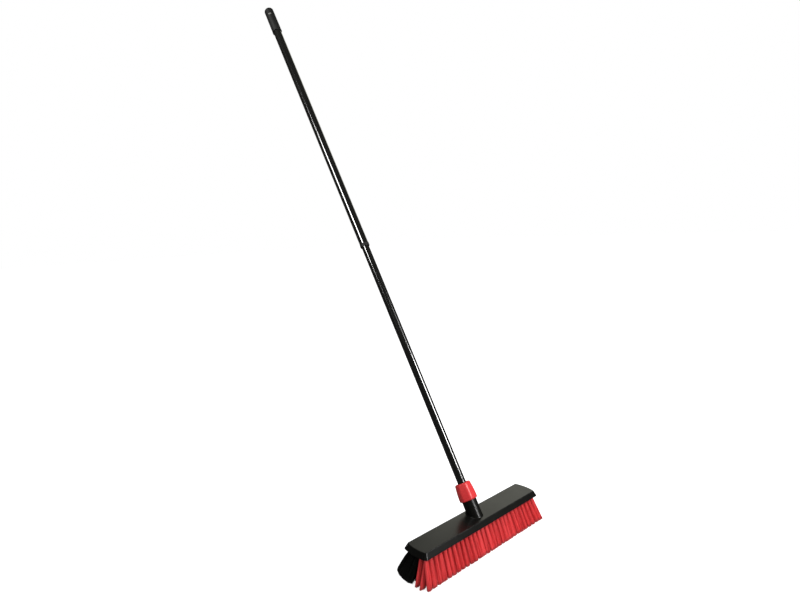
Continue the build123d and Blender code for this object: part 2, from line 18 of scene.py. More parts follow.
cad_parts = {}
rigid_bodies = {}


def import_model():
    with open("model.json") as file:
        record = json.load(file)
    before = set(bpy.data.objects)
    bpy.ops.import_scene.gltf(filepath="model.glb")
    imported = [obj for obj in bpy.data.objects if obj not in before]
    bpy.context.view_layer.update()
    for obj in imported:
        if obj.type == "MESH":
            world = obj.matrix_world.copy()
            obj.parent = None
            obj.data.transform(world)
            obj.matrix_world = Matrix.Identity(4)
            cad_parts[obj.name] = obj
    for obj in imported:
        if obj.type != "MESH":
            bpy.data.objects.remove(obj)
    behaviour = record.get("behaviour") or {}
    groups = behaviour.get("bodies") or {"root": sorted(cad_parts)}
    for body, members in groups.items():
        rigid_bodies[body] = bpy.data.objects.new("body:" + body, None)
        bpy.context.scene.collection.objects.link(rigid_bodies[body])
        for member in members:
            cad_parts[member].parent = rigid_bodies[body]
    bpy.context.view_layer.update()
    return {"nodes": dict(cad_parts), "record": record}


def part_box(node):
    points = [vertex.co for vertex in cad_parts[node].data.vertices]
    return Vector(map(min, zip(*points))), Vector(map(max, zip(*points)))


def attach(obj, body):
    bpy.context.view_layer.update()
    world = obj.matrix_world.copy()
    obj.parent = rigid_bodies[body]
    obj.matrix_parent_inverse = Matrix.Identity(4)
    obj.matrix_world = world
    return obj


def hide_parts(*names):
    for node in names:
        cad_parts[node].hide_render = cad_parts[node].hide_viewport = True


for left_over in list(bpy.data.objects):
    bpy.data.objects.remove(left_over, do_unlink=True)
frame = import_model()
nodes = frame["nodes"]
scene = bpy.context.scene

# %% [markdown]
# ## The camera
# The picture was taken from the front left of the head, about 0.7 m above the floor. The head's corners and
# the edges of the tubes fix where the camera stood, so we give its place and two of its axes as numbers, and
# the third axis follows from these two. A Track To constraint would be quicker to write, but it can't hold
# the small roll of a hand-set tripod.

# %% Place the camera
CAMERA_PLACE = Vector((-0.84820, -0.75868, 0.68861))
CAMERA_RIGHT = Vector((0.74931, -0.66055, -0.04691))
CAMERA_FORWARD = Vector((0.65120, 0.74787, -0.12895))
SENSOR_WIDTH = 36.0
PHOTO_WIDTH = 800
FOCAL_PIXELS = 553.45
NEAREST_SEEN = 0.01

camera_data = bpy.data.cameras.new("photo_camera")
camera_data.sensor_width = SENSOR_WIDTH
camera_data.lens = FOCAL_PIXELS * SENSOR_WIDTH / PHOTO_WIDTH
camera_data.clip_start = NEAREST_SEEN
camera = bpy.data.objects.new("photo_camera", camera_data)
scene.collection.objects.link(camera)
camera_up = CAMERA_RIGHT.cross(CAMERA_FORWARD).normalized()
turn = Matrix((CAMERA_RIGHT.normalized(), camera_up, -CAMERA_FORWARD.normalized())).transposed()
camera.matrix_world = Matrix.Translation(CAMERA_PLACE) @ turn.to_4x4()
scene.camera = camera
print("camera: %.1f mm lens, %.2f m above the floor" % (camera_data.lens, CAMERA_PLACE.z))

# %% [markdown]
# ## Shared effects
# Most pieces of a broom are moulded or coated, and the same few marks of making show on all of them. Each
# mark is a node group with its own inputs, so one recipe serves several finishes at different sizes.
# The first group is the fine grain that a mould leaves on plastic. Two noises are enough: a small one for the
# grain itself and a large one for the cloudy change of gloss over a wide face.

# %% A helper that adds named nodes, and the moulded grain
VECTOR, VALUE = "NodeSocketVector", "NodeSocketFloat"


def add(tree, kind, name, **settings):
    made = tree.nodes.new(kind)
    made.name = name
    made.label = name
    for key, value in settings.items():
        setattr(made, key, value)
    return made


def new_group(name, inputs, outputs):
    group = bpy.data.node_groups.new(name, "ShaderNodeTree")
    for label, kind, value in inputs:
        made = group.interface.new_socket(label, in_out="INPUT", socket_type=kind)
        if value is not None:
            made.default_value = value
    for label, kind in outputs:
        group.interface.new_socket(label, in_out="OUTPUT", socket_type=kind)
    return group, add(group, "NodeGroupInput", "in"), add(group, "NodeGroupOutput", "out")


moulded_grain, inside, outside = new_group(
    "moulded_grain",
    [("Vector", VECTOR, None), ("Grain Scale", VALUE, 2200.0), ("Cloud Scale", VALUE, 18.0)],
    [("Height", VALUE), ("Cloud", VALUE)],
)
grain = add(moulded_grain, "ShaderNodeTexNoise", "grain")
grain.inputs["Detail"].default_value = 2.0
cloud = add(moulded_grain, "ShaderNodeTexNoise", "cloud")
cloud.inputs["Detail"].default_value = 4.0
cloud.inputs["Roughness"].default_value = 0.55
moulded_grain.links.new(inside.outputs["Vector"], grain.inputs["Vector"])
moulded_grain.links.new(inside.outputs["Grain Scale"], grain.inputs["Scale"])
moulded_grain.links.new(inside.outputs["Vector"], cloud.inputs["Vector"])
moulded_grain.links.new(inside.outputs["Cloud Scale"], cloud.inputs["Scale"])
moulded_grain.links.new(grain.outputs["Fac"], outside.inputs["Height"])
moulded_grain.links.new(cloud.outputs["Fac"], outside.inputs["Cloud"])
print("group:", moulded_grain.name)

# %% [markdown]
# The second group is for tubes. A hand and the upper tube slide up and down a handle, and both leave faint
# streaks along it. A noise that is squeezed across the handle and drawn out along it looks just like that.
# The handle leans back by 30 degrees, so the coordinates are turned upright before they are stretched.

# %% Streaks along the handle
HANDLE_LEAN = math.radians(30.0)
STREAK_STRETCH = 0.012

along_streaks, inside, outside = new_group(
    "along_streaks",
    [("Vector", VECTOR, None), ("Scale", VALUE, 500.0)],
    [("Streak", VALUE)],
)
upright = add(along_streaks, "ShaderNodeMapping", "stand the handle upright")
upright.inputs["Rotation"].default_value = (HANDLE_LEAN, 0.0, 0.0)
stretch = add(along_streaks, "ShaderNodeMapping", "stretch along it")
stretch.inputs["Scale"].default_value = (1.0, 1.0, STREAK_STRETCH)
streak = add(along_streaks, "ShaderNodeTexNoise", "streaks")
streak.inputs["Detail"].default_value = 3.0
sharpen = add(along_streaks, "ShaderNodeMapRange", "only the strong ones")
sharpen.inputs["From Min"].default_value = 0.45
sharpen.inputs["From Max"].default_value = 0.75
along_streaks.links.new(inside.outputs["Vector"], upright.inputs["Vector"])
along_streaks.links.new(upright.outputs["Vector"], stretch.inputs["Vector"])
along_streaks.links.new(stretch.outputs["Vector"], streak.inputs["Vector"])
along_streaks.links.new(inside.outputs["Scale"], streak.inputs["Scale"])
along_streaks.links.new(streak.outputs["Fac"], sharpen.inputs["Value"])
along_streaks.links.new(sharpen.outputs["Result"], outside.inputs["Streak"])
print("group:", along_streaks.name)

# %% [markdown]
# ## Finishes
# A finish is a Principled BSDF with its plain numbers set on the shader itself, and only what changes over
# the surface comes in by a link. Four small helpers make what nearly every finish needs: the shader with its
# coordinates, a value and a colour that follow a mask, and a bump. A noise seldom leaves the middle of its
# range, so the helper for values spreads that middle over the whole change.

# %% Helpers for finishes
NOISE_LOW, NOISE_HIGH = 0.3, 0.7
finishes = {}


def new_finish(name):
    finish = bpy.data.materials.new(name)
    finishes[name] = finish
    finish.use_nodes = True
    tree = finish.node_tree
    shader = tree.nodes["Principled BSDF"]
    place = add(tree, "ShaderNodeTexCoord", "place on the piece")
    return finish, tree, shader, place.outputs["Object"]


def vary(tree, mask, low, high, name):
    made = add(tree, "ShaderNodeMapRange", name)
    made.inputs["From Min"].default_value = NOISE_LOW
    made.inputs["From Max"].default_value = NOISE_HIGH
    made.inputs["To Min"].default_value = low
    made.inputs["To Max"].default_value = high
    tree.links.new(mask, made.inputs["Value"])
    return made.outputs["Result"]


def blend_colours(tree, mask, low, high, name):
    made = add(tree, "ShaderNodeMix", name, data_type="RGBA")
    made.inputs["A"].default_value = (*low, 1.0)
    made.inputs["B"].default_value = (*high, 1.0)
    tree.links.new(mask, made.inputs["Factor"])
    return made.outputs["Result"]


def bump(tree, shader, height, strength, depth):
    made = add(tree, "ShaderNodeBump", "relief")
    made.inputs["Strength"].default_value = strength
    made.inputs["Distance"].default_value = depth
    tree.links.new(height, made.inputs["Height"])
    tree.links.new(made.outputs["Normal"], shader.inputs["Normal"])


# %% [markdown]
# ## Moulded plastics
# The cover of the head, the block, the cap, the nut and the small pieces of the locks are all injection
# moulded. The grain group drives a small bump on each of them, and its cloud moves the tone and the gloss a
# little. A picture of real plastic could do this too, but a noise has no seams and no edge. The cover also
# gets a thin coat, because its flat top mirrors the room more clearly than the other mouldings do.

# %% Mix the plastics
GRAIN_DEPTH = 0.0002


def moulded(name, dark, light, roughness, grain_scale, relief, specular=0.5):
    finish, tree, shader, place = new_finish(name)
    mould = add(tree, "ShaderNodeGroup", "moulded grain", node_tree=moulded_grain)
    mould.inputs["Grain Scale"].default_value = grain_scale
    tree.links.new(place, mould.inputs["Vector"])
    tone = blend_colours(tree, mould.outputs["Cloud"], dark, light, "tone")
    tree.links.new(tone, shader.inputs["Base Color"])
    gloss = vary(tree, mould.outputs["Cloud"], roughness[0], roughness[1], "gloss")
    tree.links.new(gloss, shader.inputs["Roughness"])
    shader.inputs["Specular IOR Level"].default_value = specular
    bump(tree, shader, mould.outputs["Height"], relief, GRAIN_DEPTH)
    print("finish:", name)
    return finish


cover_plastic = moulded(
    "cover_plastic", dark=(0.0032, 0.0032, 0.0028), light=(0.0058, 0.0058, 0.0048),
    roughness=(0.29, 0.36), grain_scale=2400.0, relief=0.06, specular=0.3,
)
cover_shader = cover_plastic.node_tree.nodes["Principled BSDF"]
cover_shader.inputs["Coat Weight"].default_value = 0.35
cover_shader.inputs["Coat Roughness"].default_value = 0.20
block_plastic = moulded(
    "block_plastic", dark=(0.010, 0.010, 0.010), light=(0.016, 0.016, 0.015),
    roughness=(0.50, 0.60), grain_scale=1800.0, relief=0.20,
)
moulded(
    "cap_plastic", dark=(0.007, 0.007, 0.007), light=(0.012, 0.012, 0.011),
    roughness=(0.46, 0.58), grain_scale=1500.0, relief=0.30,
)
moulded(
    "nut_plastic", dark=(0.74, 0.034, 0.038), light=(0.82, 0.044, 0.048),
    roughness=(0.32, 0.40), grain_scale=2000.0, relief=0.10, specular=0.6,
)
lock_plastic = moulded(
    "lock_plastic", dark=(0.50, 0.50, 0.47), light=(0.60, 0.60, 0.57),
    roughness=(0.40, 0.50), grain_scale=1600.0, relief=0.15,
)

# %% [markdown]
# ## Painted tubes
# The handle is thin steel tube with a gloss black coating. A clear coat over a dark base gives the narrow
# bright stripes that a lamp draws along a round tube. Real coating isn't dead flat, so a broad low noise
# makes a trace of orange peel, and the streaks of use roughen the base coat under it.

# %% Gloss black tube coating
TUBE_CLEAN, TUBE_WORN = (0.003, 0.003, 0.003), (0.007, 0.007, 0.006)
SKIN_DEPTH = 0.0001

tube_paint, tree, shader, place = new_finish("tube_paint")
streaks = add(tree, "ShaderNodeGroup", "streaks of use", node_tree=along_streaks)
streaks.inputs["Scale"].default_value = 700.0
tree.links.new(place, streaks.inputs["Vector"])
tube_tone = blend_colours(tree, streaks.outputs["Streak"], TUBE_CLEAN, TUBE_WORN, "tone")
tree.links.new(tube_tone, shader.inputs["Base Color"])
tube_gloss = vary(tree, streaks.outputs["Streak"], low=0.16, high=0.26, name="gloss")
tree.links.new(tube_gloss, shader.inputs["Roughness"])
shader.inputs["Specular IOR Level"].default_value = 1.0
shader.inputs["Coat Weight"].default_value = 1.0
shader.inputs["Coat IOR"].default_value = 1.67
shader.inputs["Coat Roughness"].default_value = 0.12
peel = add(tree, "ShaderNodeGroup", "orange peel", node_tree=moulded_grain)
peel.inputs["Grain Scale"].default_value = 420.0
tree.links.new(place, peel.inputs["Vector"])
bump(tree, shader, peel.outputs["Height"], strength=0.02, depth=SKIN_DEPTH)
print("finish:", tube_paint.name)

# %% [markdown]
# ## Screw steel
# The six screws under the head and the stop screw in the lock are zinc plated: a metal with a bluish grey
# colour and a cloudy, slightly rough surface. The grain group serves again, with a much smaller cloud, since
# the crystals of a plating are far finer than the flow marks of a moulding.

# %% Zinc plated screws
ZINC_DARK, ZINC_LIGHT = (0.48, 0.50, 0.52), (0.66, 0.67, 0.68)

screw_steel, tree, shader, place = new_finish("screw_steel")
plating = add(tree, "ShaderNodeGroup", "plating", node_tree=moulded_grain)
plating.inputs["Grain Scale"].default_value = 3000.0
plating.inputs["Cloud Scale"].default_value = 300.0
tree.links.new(place, plating.inputs["Vector"])
zinc_tone = blend_colours(tree, plating.outputs["Cloud"], ZINC_DARK, ZINC_LIGHT, "tone")
tree.links.new(zinc_tone, shader.inputs["Base Color"])
zinc_gloss = vary(tree, plating.outputs["Cloud"], low=0.26, high=0.42, name="gloss")
tree.links.new(zinc_gloss, shader.inputs["Roughness"])
shader.inputs["Metallic"].default_value = 1.0
bump(tree, shader, plating.outputs["Height"], strength=0.08, depth=SKIN_DEPTH)
print("finish:", screw_steel.name)

# %% [markdown]
# ## Bristle plastics
# No two strands of a brush catch the light alike. Each strand carries a number between 0 and 1 in a mesh
# attribute called strand_shade, and the finish reads it to choose between a deep and a bright tone. The
# second change runs down the strand: over the last few millimetres above the tips it turns darker.

# %% Red and black strands
# the strands turn darker over the last few millimetres above their tips
TIP_DARKENING_LENGTH, TIP_DARKENING_SHARE = 0.008, 0.8
RED_DEEP, RED_BRIGHT, RED_TIP = (0.72, 0.030, 0.034), (0.98, 0.066, 0.072), (0.40, 0.046, 0.046)
BLACK_DEEP, BLACK_BRIGHT = (0.003, 0.003, 0.003), (0.008, 0.008, 0.007)
BLACK_TIP = (0.006, 0.006, 0.006)


def strand_plastic(name, deep, bright, tip, roughness, specular):
    finish, tree, shader, place = new_finish(name)
    shade = add(tree, "ShaderNodeAttribute", "shade of this strand", attribute_name="strand_shade")
    tone = blend_colours(tree, shade.outputs["Fac"], deep, bright, "tone")
    split = add(tree, "ShaderNodeSeparateXYZ", "height")
    tree.links.new(place, split.inputs["Vector"])
    # darker towards the tips, strongest at the very ends
    tip_darkening = add(tree, "ShaderNodeMapRange", "darker towards the tips", interpolation_type="SMOOTHSTEP")
    tip_darkening.inputs["From Min"].default_value = 0.0
    tip_darkening.inputs["From Max"].default_value = TIP_DARKENING_LENGTH
    tip_darkening.inputs["To Min"].default_value = TIP_DARKENING_SHARE
    tip_darkening.inputs["To Max"].default_value = 0.0
    tree.links.new(split.outputs["Z"], tip_darkening.inputs["Value"])
    mixed = add(tree, "ShaderNodeMix", "tone and tips", data_type="RGBA")
    mixed.inputs["B"].default_value = (*tip, 1.0)
    tree.links.new(tip_darkening.outputs["Result"], mixed.inputs["Factor"])
    tree.links.new(tone, mixed.inputs["A"])
    tree.links.new(mixed.outputs["Result"], shader.inputs["Base Color"])
    gloss = vary(tree, shade.outputs["Fac"], roughness[0], roughness[1], "gloss")
    tree.links.new(gloss, shader.inputs["Roughness"])
    shader.inputs["Specular IOR Level"].default_value = specular
    print("finish:", name)
    return finish


red_bristle = strand_plastic(
    "red_bristle", RED_DEEP, RED_BRIGHT, RED_TIP, roughness=(0.34, 0.46), specular=0.65,
)
black_bristle = strand_plastic(
    "black_bristle", BLACK_DEEP, BLACK_BRIGHT, BLACK_TIP, roughness=(0.50, 0.62), specular=0.25,
)

# %% [markdown]
# ## Dressing the hard pieces
# The CAD nodes already have the right shape, so they stay as they are and only take a finish. The packed
# record says which material slot each node belongs to, which saves us a second list that could go wrong.

# %% Give every node its finish
slot_of = {entry["node"]: entry["material_slot"] for entry in frame["record"]["subparts"]}
for name, piece in nodes.items():
    piece.data.materials.clear()
    piece.data.materials.append(finishes[slot_of[name]])
print("dressed:", ", ".join(sorted(name for name in nodes if "bristles" not in name)))

# %% [markdown]
# ## A bush in the hang hole
# In the picture the hole near the top of the cap is lighter than the cap, as if a pale bush lined it so that
# a hook can't wear the soft plastic. A lathe makes such a bush, and spin is Blender's lathe: we draw the
# section of its thin wall and turn it once around an axis. The record gives the hole's size.
# An operator may list the parts that it makes in another order each time, so they are sorted by their places,
# and every run gives the same mesh.

# %% Spin the bush
MM_PER_M = 1000
BUSH_COVER = 0.00002
BUSH_WALL, BUSH_PROUD = 0.0003, 0.00005
BUSH_STEPS = 40
SORT_DIGITS = 6


def sort_parts(parts, middle_of):
    ranked = sorted(parts, key=lambda part: [round(value, SORT_DIGITS) for value in middle_of(part)])
    rank = {part: index for index, part in enumerate(ranked)}
    parts.sort(key=lambda part: rank[part])


def sort_shape(shape):
    sort_parts(shape.verts, lambda vert: vert.co)
    sort_parts(shape.edges, lambda edge: edge.verts[0].co + edge.verts[1].co)
    sort_parts(shape.faces, lambda face: face.calc_center_median())


def spin_section(section, steps):
    shape = bmesh.new()
    corners = [shape.verts.new((radius, 0.0, height)) for radius, height in section]
    edges = [shape.edges.new((corners[index - 1], corners[index])) for index in range(len(corners))]
    bmesh.ops.spin(
        shape, geom=corners + edges, cent=(0.0, 0.0, 0.0), axis=(0.0, 0.0, 1.0), angle=math.tau,
        steps=steps, use_merge=True,
    )
    bmesh.ops.recalc_face_normals(shape, faces=shape.faces[:])
    sort_shape(shape)
    return shape


hole = next(mount for mount in frame["record"]["mounts"] if mount["name"] == "hang_hole")
cap_radius = hole["dims"]["length_mm"] / MM_PER_M / 2
bush_inner = hole["dims"]["r_mm"] / MM_PER_M - BUSH_COVER
bush_outer = bush_inner + BUSH_WALL
bush_end = cap_radius + BUSH_PROUD
bush_section = [
    (bush_inner, bush_end), (bush_outer, bush_end), (bush_outer, -bush_end), (bush_inner, -bush_end),
]
bush_shape = spin_section(bush_section, BUSH_STEPS)
print("bush: %.2f mm across inside" % (2 * bush_inner * MM_PER_M))

# %% [markdown]
# The cap is round, so the two ends of the bush have to follow it: each vertex goes down by as much as the
# cap falls away beside the hole. A boolean with the cap could trim the ends too, but it would leave long thin
# faces. Then the bush is turned onto the hole's axis and moved to its place, all in its mesh.

# %% Fit the bush to the cap
for vert in bush_shape.verts:
    fall = cap_radius - math.sqrt(cap_radius ** 2 - vert.co.x ** 2)
    vert.co.z -= math.copysign(fall, vert.co.z)
hole_axis = Vector(hole["axis"]).normalized()
up_handle = Vector((0.0, math.sin(HANDLE_LEAN), math.cos(HANDLE_LEAN)))
stand = Matrix((up_handle.cross(hole_axis), up_handle, hole_axis)).transposed()
bmesh.ops.transform(bush_shape, matrix=stand.to_4x4(), verts=bush_shape.verts[:])
bmesh.ops.translate(bush_shape, vec=Vector(hole["pos_m"]), verts=bush_shape.verts[:])
bush_mesh = bpy.data.meshes.new("hang_bush")
bush_shape.to_mesh(bush_mesh)
bush_shape.free()
bush_mesh.materials.append(lock_plastic)
hang_bush = bpy.data.objects.new("hang_bush", bush_mesh)
scene.collection.objects.link(hang_bush)
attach(hang_bush, "upper_handle")
print("bush:", len(bush_mesh.polygons), "faces")

# %% [markdown]
# ## One straight strand
# A brush is thousands of copies of one shape, so that shape has few faces: a circle with a few sides that is
# extruded downwards a few times. It is one unit long and one unit in radius, and each copy is bent and
# tapered into place later. Only its sides are shaded smooth. The two ends are flat cuts with sharp edges,
# because smooth shading across them would darken the tips. Geometry nodes or hair could scatter strands too,
# but a mesh gives us every tip's exact height.

# %% Extrude a unit strand
SIDE_NORMAL_Z = 0.5


def unit_strand(name, sides, rings):
    shape = bmesh.new()
    bmesh.ops.create_circle(shape, cap_ends=True, segments=sides, radius=1.0)
    end = shape.faces[:]
    for _ in range(rings):
        grown = bmesh.ops.extrude_face_region(shape, geom=end)["geom"]
        end = [part for part in grown if isinstance(part, bmesh.types.BMFace)]
        lowered = [part for part in grown if isinstance(part, bmesh.types.BMVert)]
        bmesh.ops.translate(shape, vec=(0.0, 0.0, -1.0 / rings), verts=lowered)
    bmesh.ops.recalc_face_normals(shape, faces=shape.faces[:])
    for face in shape.faces:
        face.smooth = abs(face.normal.z) < SIDE_NORMAL_Z
    for edge in shape.edges:
        edge.smooth = all(face.smooth for face in edge.link_faces)
    sort_shape(shape)
    mesh = bpy.data.meshes.new(name)
    shape.to_mesh(mesh)
    shape.free()
    print(name, "has", len(mesh.polygons), "faces")
    return mesh


coarse_strand = unit_strand("coarse_strand", sides=6, rings=3)
fine_strand = unit_strand("fine_strand", sides=4, rings=3)

# %% [markdown]
# ## Where the rows stand
# The CAD model has every row of bristles as one plain solid: a slice of the block with a few thick strands.
# The new rows have to stand where those do, so their places are read from the frame. Where a row meets the
# block its corners give the slice, and where it meets the floor they give the strip that its tips cover.

# %% Measure the CAD rows
TOUCH = 0.0002
FLOOR_LEVEL = 0.0
SLICE_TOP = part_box("brush_block")[0].z
SLICE_THICKNESS = 0.0025
SLICE_FOOT = SLICE_TOP - SLICE_THICKNESS


def rows_of(colour):
    return sorted(name for name in nodes if name.startswith(colour + "_bristles"))


def footprint(node, height):
    touched = [vert.co for vert in nodes[node].data.vertices if abs(vert.co.z - height) < TOUCH]
    low = Vector([min(place[axis] for place in touched) for axis in range(3)])
    high = Vector([max(place[axis] for place in touched) for axis in range(3)])
    return low, high


red_nodes, black_nodes = rows_of("red"), rows_of("black")
slice_low, slice_high = footprint(red_nodes[0], SLICE_TOP)
print("rows:", len(red_nodes), "red and", len(black_nodes), "black")
print("a slice is %.1f by %.1f mm" % tuple(MM_PER_M * side for side in (slice_high - slice_low)[:2]))

# %% [markdown]
# ## A tuft
# A machine folds a bunch of strands over an anchor and drives it into a hole in the block, so a tuft is
# tight at its root and fans out to its tip. Seeds in a sunflower fill a disc evenly, and the same rule, a
# fixed turn of 137.5 degrees from one strand to the next, spreads the strands over the root and over the tip.
# Random places would leave bald spots. Packed tufts press each other square, so the disc can be pushed out
# towards a square at the tips.

# %% Spread strands over a disc
SUNFLOWER_TURN = math.radians(137.508)
FIRST_SEED = 0.5


def disc_place(index, count):
    radius = math.sqrt((index + FIRST_SEED) / count)
    angle = index * SUNFLOWER_TURN
    return radius * math.cos(angle), radius * math.sin(angle), radius


def squared(across, deep, share):
    corner = math.hypot(across, deep) / max(abs(across), abs(deep))
    grow = 1.0 + share * (corner - 1.0)
    return across * grow, deep * grow


FEW = 5
few_places = [tuple(round(value, 2) for value in disc_place(index, FEW)) for index in range(FEW)]
print("a tuft of", FEW, "strands starts at", few_places)

# %% [markdown]
# Each strand runs from its root to its tip in a slight bow and gets thinner on the way. A brush is trimmed
# after it is filled, so a tip that would stick out of the brush's outline is moved back onto it.

# %% Bend and trim a strand
def bend_strand(verts, root, tip, look):
    for vert in verts:
        share = -vert.co.z
        thick = look["radius"] * (1.0 - (1.0 - look["tip_taper"]) * share)
        middle = root.lerp(tip, share ** look["bow"])
        level = root.z + (tip.z - root.z) * share
        vert.co = (middle.x + vert.co.x * thick, middle.y + vert.co.y * thick, level)


def trimmed(tip, outline):
    y = min(max(tip.y, outline["y"][0]), outline["y"][-1])
    reach = float(numpy.interp(y, outline["y"], outline["reach"]))
    return Vector((min(max(tip.x, -reach), reach), y, tip.z))


# %% [markdown]
# The two folded halves of a tuft never lie quite alike: each has its own shade and leans its own way. On top
# of that every strand strays a little. A look holds the sizes of one kind of tuft: how many strands it has
# and how thick they are, how wide it is at its root and its tips, and how far its parts stray, drift and
# differ in shade. The strands are copied into one mesh for the whole row, because thousands of objects would
# be slow.

# %% Plant one tuft
MIDDLE_SHADE = 0.5


def plant_tuft(row, strand, root_middle, tip_middle, fan, look, dice, outline):
    shades = []
    half_shade = [MIDDLE_SHADE + dice.uniform(-1.0, 1.0) * look["half_spread"] for _ in range(2)]
    half_shift = [Vector((dice.uniform(-1.0, 1.0) * look["half_drift"], 0.0, 0.0)) for _ in range(2)]
    for index in range(look["strands"]):
        across, deep, out = disc_place(index, look["strands"])
        half = int(across > 0.0)
        wide, long = squared(across, deep, look["squareness"])
        root = root_middle + Vector((across * look["root"][0], deep * look["root"][1], 0.0))
        stray = Vector((dice.gauss(0.0, look["stray"]), dice.gauss(0.0, look["stray"]), 0.0))
        rise = look["tip_rise"] * out * out + dice.uniform(0.0, look["tip_uneven"])
        tip = tip_middle + half_shift[half] + stray + Vector((wide * fan[0], long * fan[1], rise))
        if outline:
            tip = trimmed(tip, outline)
        first = len(row.verts)
        row.from_mesh(strand)
        row.verts.ensure_lookup_table()
        bend_strand(row.verts[first:], root, tip, look)
        shade = half_shade[half] + dice.uniform(-1.0, 1.0) * look["shade_spread"]
        shades.append(min(1.0, max(0.0, shade)))
    return shades


# %% [markdown]
# ## A row of tufts
# Each row stands in its own slice of the block: a bar with softened edges, which takes the block's finish. A
# cube with bevelled edges is the quickest way to such a bar. Its faces use the second material of the row's
# mesh, and the strands use the first.

# %% The slice of the block
SLICE_EDGE = 0.0004
BLOCK_MATERIAL = 1


def slice_bar(low, high):
    bar = bmesh.new()
    middle = Vector(((low.x + high.x) / 2, (low.y + high.y) / 2, (SLICE_FOOT + SLICE_TOP) / 2))
    size = Matrix.Diagonal((high.x - low.x, high.y - low.y, SLICE_THICKNESS, 1.0))
    bmesh.ops.create_cube(bar, size=1.0, matrix=Matrix.Translation(middle) @ size)
    bmesh.ops.bevel(
        bar, geom=bar.edges[:], offset=SLICE_EDGE, offset_type="OFFSET", segments=2,
        profile=0.5, affect="EDGES", material=-1,
    )
    for face in bar.faces:
        face.material_index = BLOCK_MATERIAL
    sort_shape(bar)
    mesh = bpy.data.meshes.new("slice_bar")
    bar.to_mesh(mesh)
    bar.free()
    return mesh


# %% [markdown]
# A planted row becomes a piece that rides on the head. The shade of every strand is written to the mesh as a
# point attribute, once for each of the strand's vertices, so that the finish can read it.

# %% Turn a row into a piece
def finish_row(name, row, finish, bar_verts, shades, verts_each):
    mesh = bpy.data.meshes.new(name)
    row.to_mesh(mesh)
    row.free()
    mesh.materials.append(finish)
    mesh.materials.append(block_plastic)
    tone = mesh.attributes.new("strand_shade", "FLOAT", "POINT")
    values = [0.0] * bar_verts + [shade for shade in shades for _ in range(verts_each)]
    tone.data.foreach_set("value", values)
    piece = bpy.data.objects.new(name, mesh)
    scene.collection.objects.link(piece)
    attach(piece, "head")
    print(name, "strands:", len(shades), "faces:", len(mesh.polygons))
    return piece


# %% [markdown]
# The tufts are evenly spaced along the slice. Towards the two ends they lean outwards with the square of
# their distance from the middle, as on a brush that has been leaned on, and they fan out more there, so that
# no gap opens between them. Everything random comes from a generator with a fixed seed, so every run plants
# the same brush.

# %% Plant one row
TUFTS = 28
TUFT_END_MARGIN = 0.0025
STRAND_SINK = 0.001
SPLAY_POWER = 2.0


def plant_row(name, node, strand, finish, tufts, look, seed, outline=None):
    dice = random.Random(seed)
    root_low, root_high = footprint(node, SLICE_TOP)
    tip_low, tip_high = footprint(node, FLOOR_LEVEL)
    step = (root_high.x - root_low.x - 2 * TUFT_END_MARGIN) / (TUFTS - 1)
    last = step * (tufts - 1) / 2
    fan_x, fan_y = look["fan"]
    splay = (tip_high.x + look["reach"] - last - fan_x) / (1.0 + SPLAY_POWER * fan_x / last)
    root = Vector((0.0, (root_low.y + root_high.y) / 2, SLICE_FOOT + STRAND_SINK))
    row = bmesh.new()
    row.from_mesh(slice_bar(root_low, root_high))
    bar_verts = len(row.verts)
    shades = []
    for tuft in range(tufts):
        root.x = step * (tuft - (tufts - 1) / 2)
        end_share = root.x / last
        drift = [dice.uniform(-1.0, 1.0) * look["tuft_drift"] for _ in range(2)]
        tip_x = root.x + splay * end_share * abs(end_share) + look["lean"] + drift[0]
        tip = Vector((tip_x, (tip_low.y + tip_high.y) / 2 + drift[1], FLOOR_LEVEL))
        fan = (fan_x * (1.0 + SPLAY_POWER * splay * abs(end_share) / last), fan_y)
        shades += plant_tuft(row, strand, root, tip, fan, look, dice, outline)
    return finish_row(name, row, finish, bar_verts, shades, len(strand.vertices))


# %% [markdown]
# ## The red rows
# Three rows of coarse red strands stand along the front. Each tuft is a clear bundle with a narrow gap beside
# it, its tips are cut level, and all lean a little to the left, as on a brush that was last pushed that way.
# The row in the middle has one tuft fewer, so its tufts stand behind the gaps of the first row.

# %% Plant the red rows
RED_SEED = 10
red_look = {
    "strands": 56, "radius": 0.00060, "tip_taper": 1.0, "root": (0.0044, 0.0027), "fan": (0.0060, 0.0034),
    "squareness": 0.3, "stray": 0.0003, "tuft_drift": 0.0005, "tip_rise": 0.0, "tip_uneven": 0.0007,
    "reach": 0.0, "lean": -0.0035, "bow": 1.0,
    "half_drift": 0.0010, "half_spread": 0.42, "shade_spread": 0.35,
}
for number, node in enumerate(red_nodes, start=1):
    red_row = plant_row(
        "red_tufts_%d" % number, node, coarse_strand, red_bristle,
        TUFTS - (number + 1) % 2, red_look, RED_SEED + number,
    )
    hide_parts(node)

# %% [markdown]
# ## The black rows
# Four rows of finer black strands stand behind a bare lane. They fan far out towards the back and press each
# other square, so from the end the mass looks like one dark wedge. The outer strands of a tuft lean more, and
# since all were cut to one length their ends sit a little higher. The tips are trimmed to one outline with
# rounded corners, which runs just outside the ends of the four CAD rows.

# %% Trim the black outline
CORNER_CUT_FRONT, CORNER_CUT_BACK = 0.006, 0.010
CORNER_ROUND = 1 / 3
FRONT_OVERHANG, END_OVERHANG = 0.0045, 0.0025
black_feet = [footprint(node, FLOOR_LEVEL) for node in black_nodes]
row_ends = [high.x + END_OVERHANG for low, high in black_feet]
row_lines = [(low.y + high.y) / 2 for low, high in black_feet]
black_outline = {
    "y": [black_feet[0][0].y - FRONT_OVERHANG, *row_lines, black_feet[-1][1].y],
    "reach": [
        row_ends[0] - CORNER_CUT_FRONT, row_ends[0] - CORNER_ROUND * CORNER_CUT_FRONT, *row_ends[1:-1],
        row_ends[-1] - CORNER_ROUND * CORNER_CUT_BACK, row_ends[-1] - CORNER_CUT_BACK,
    ],
}
print("black outline: %.1f mm to each side" % (MM_PER_M * max(black_outline["reach"])))

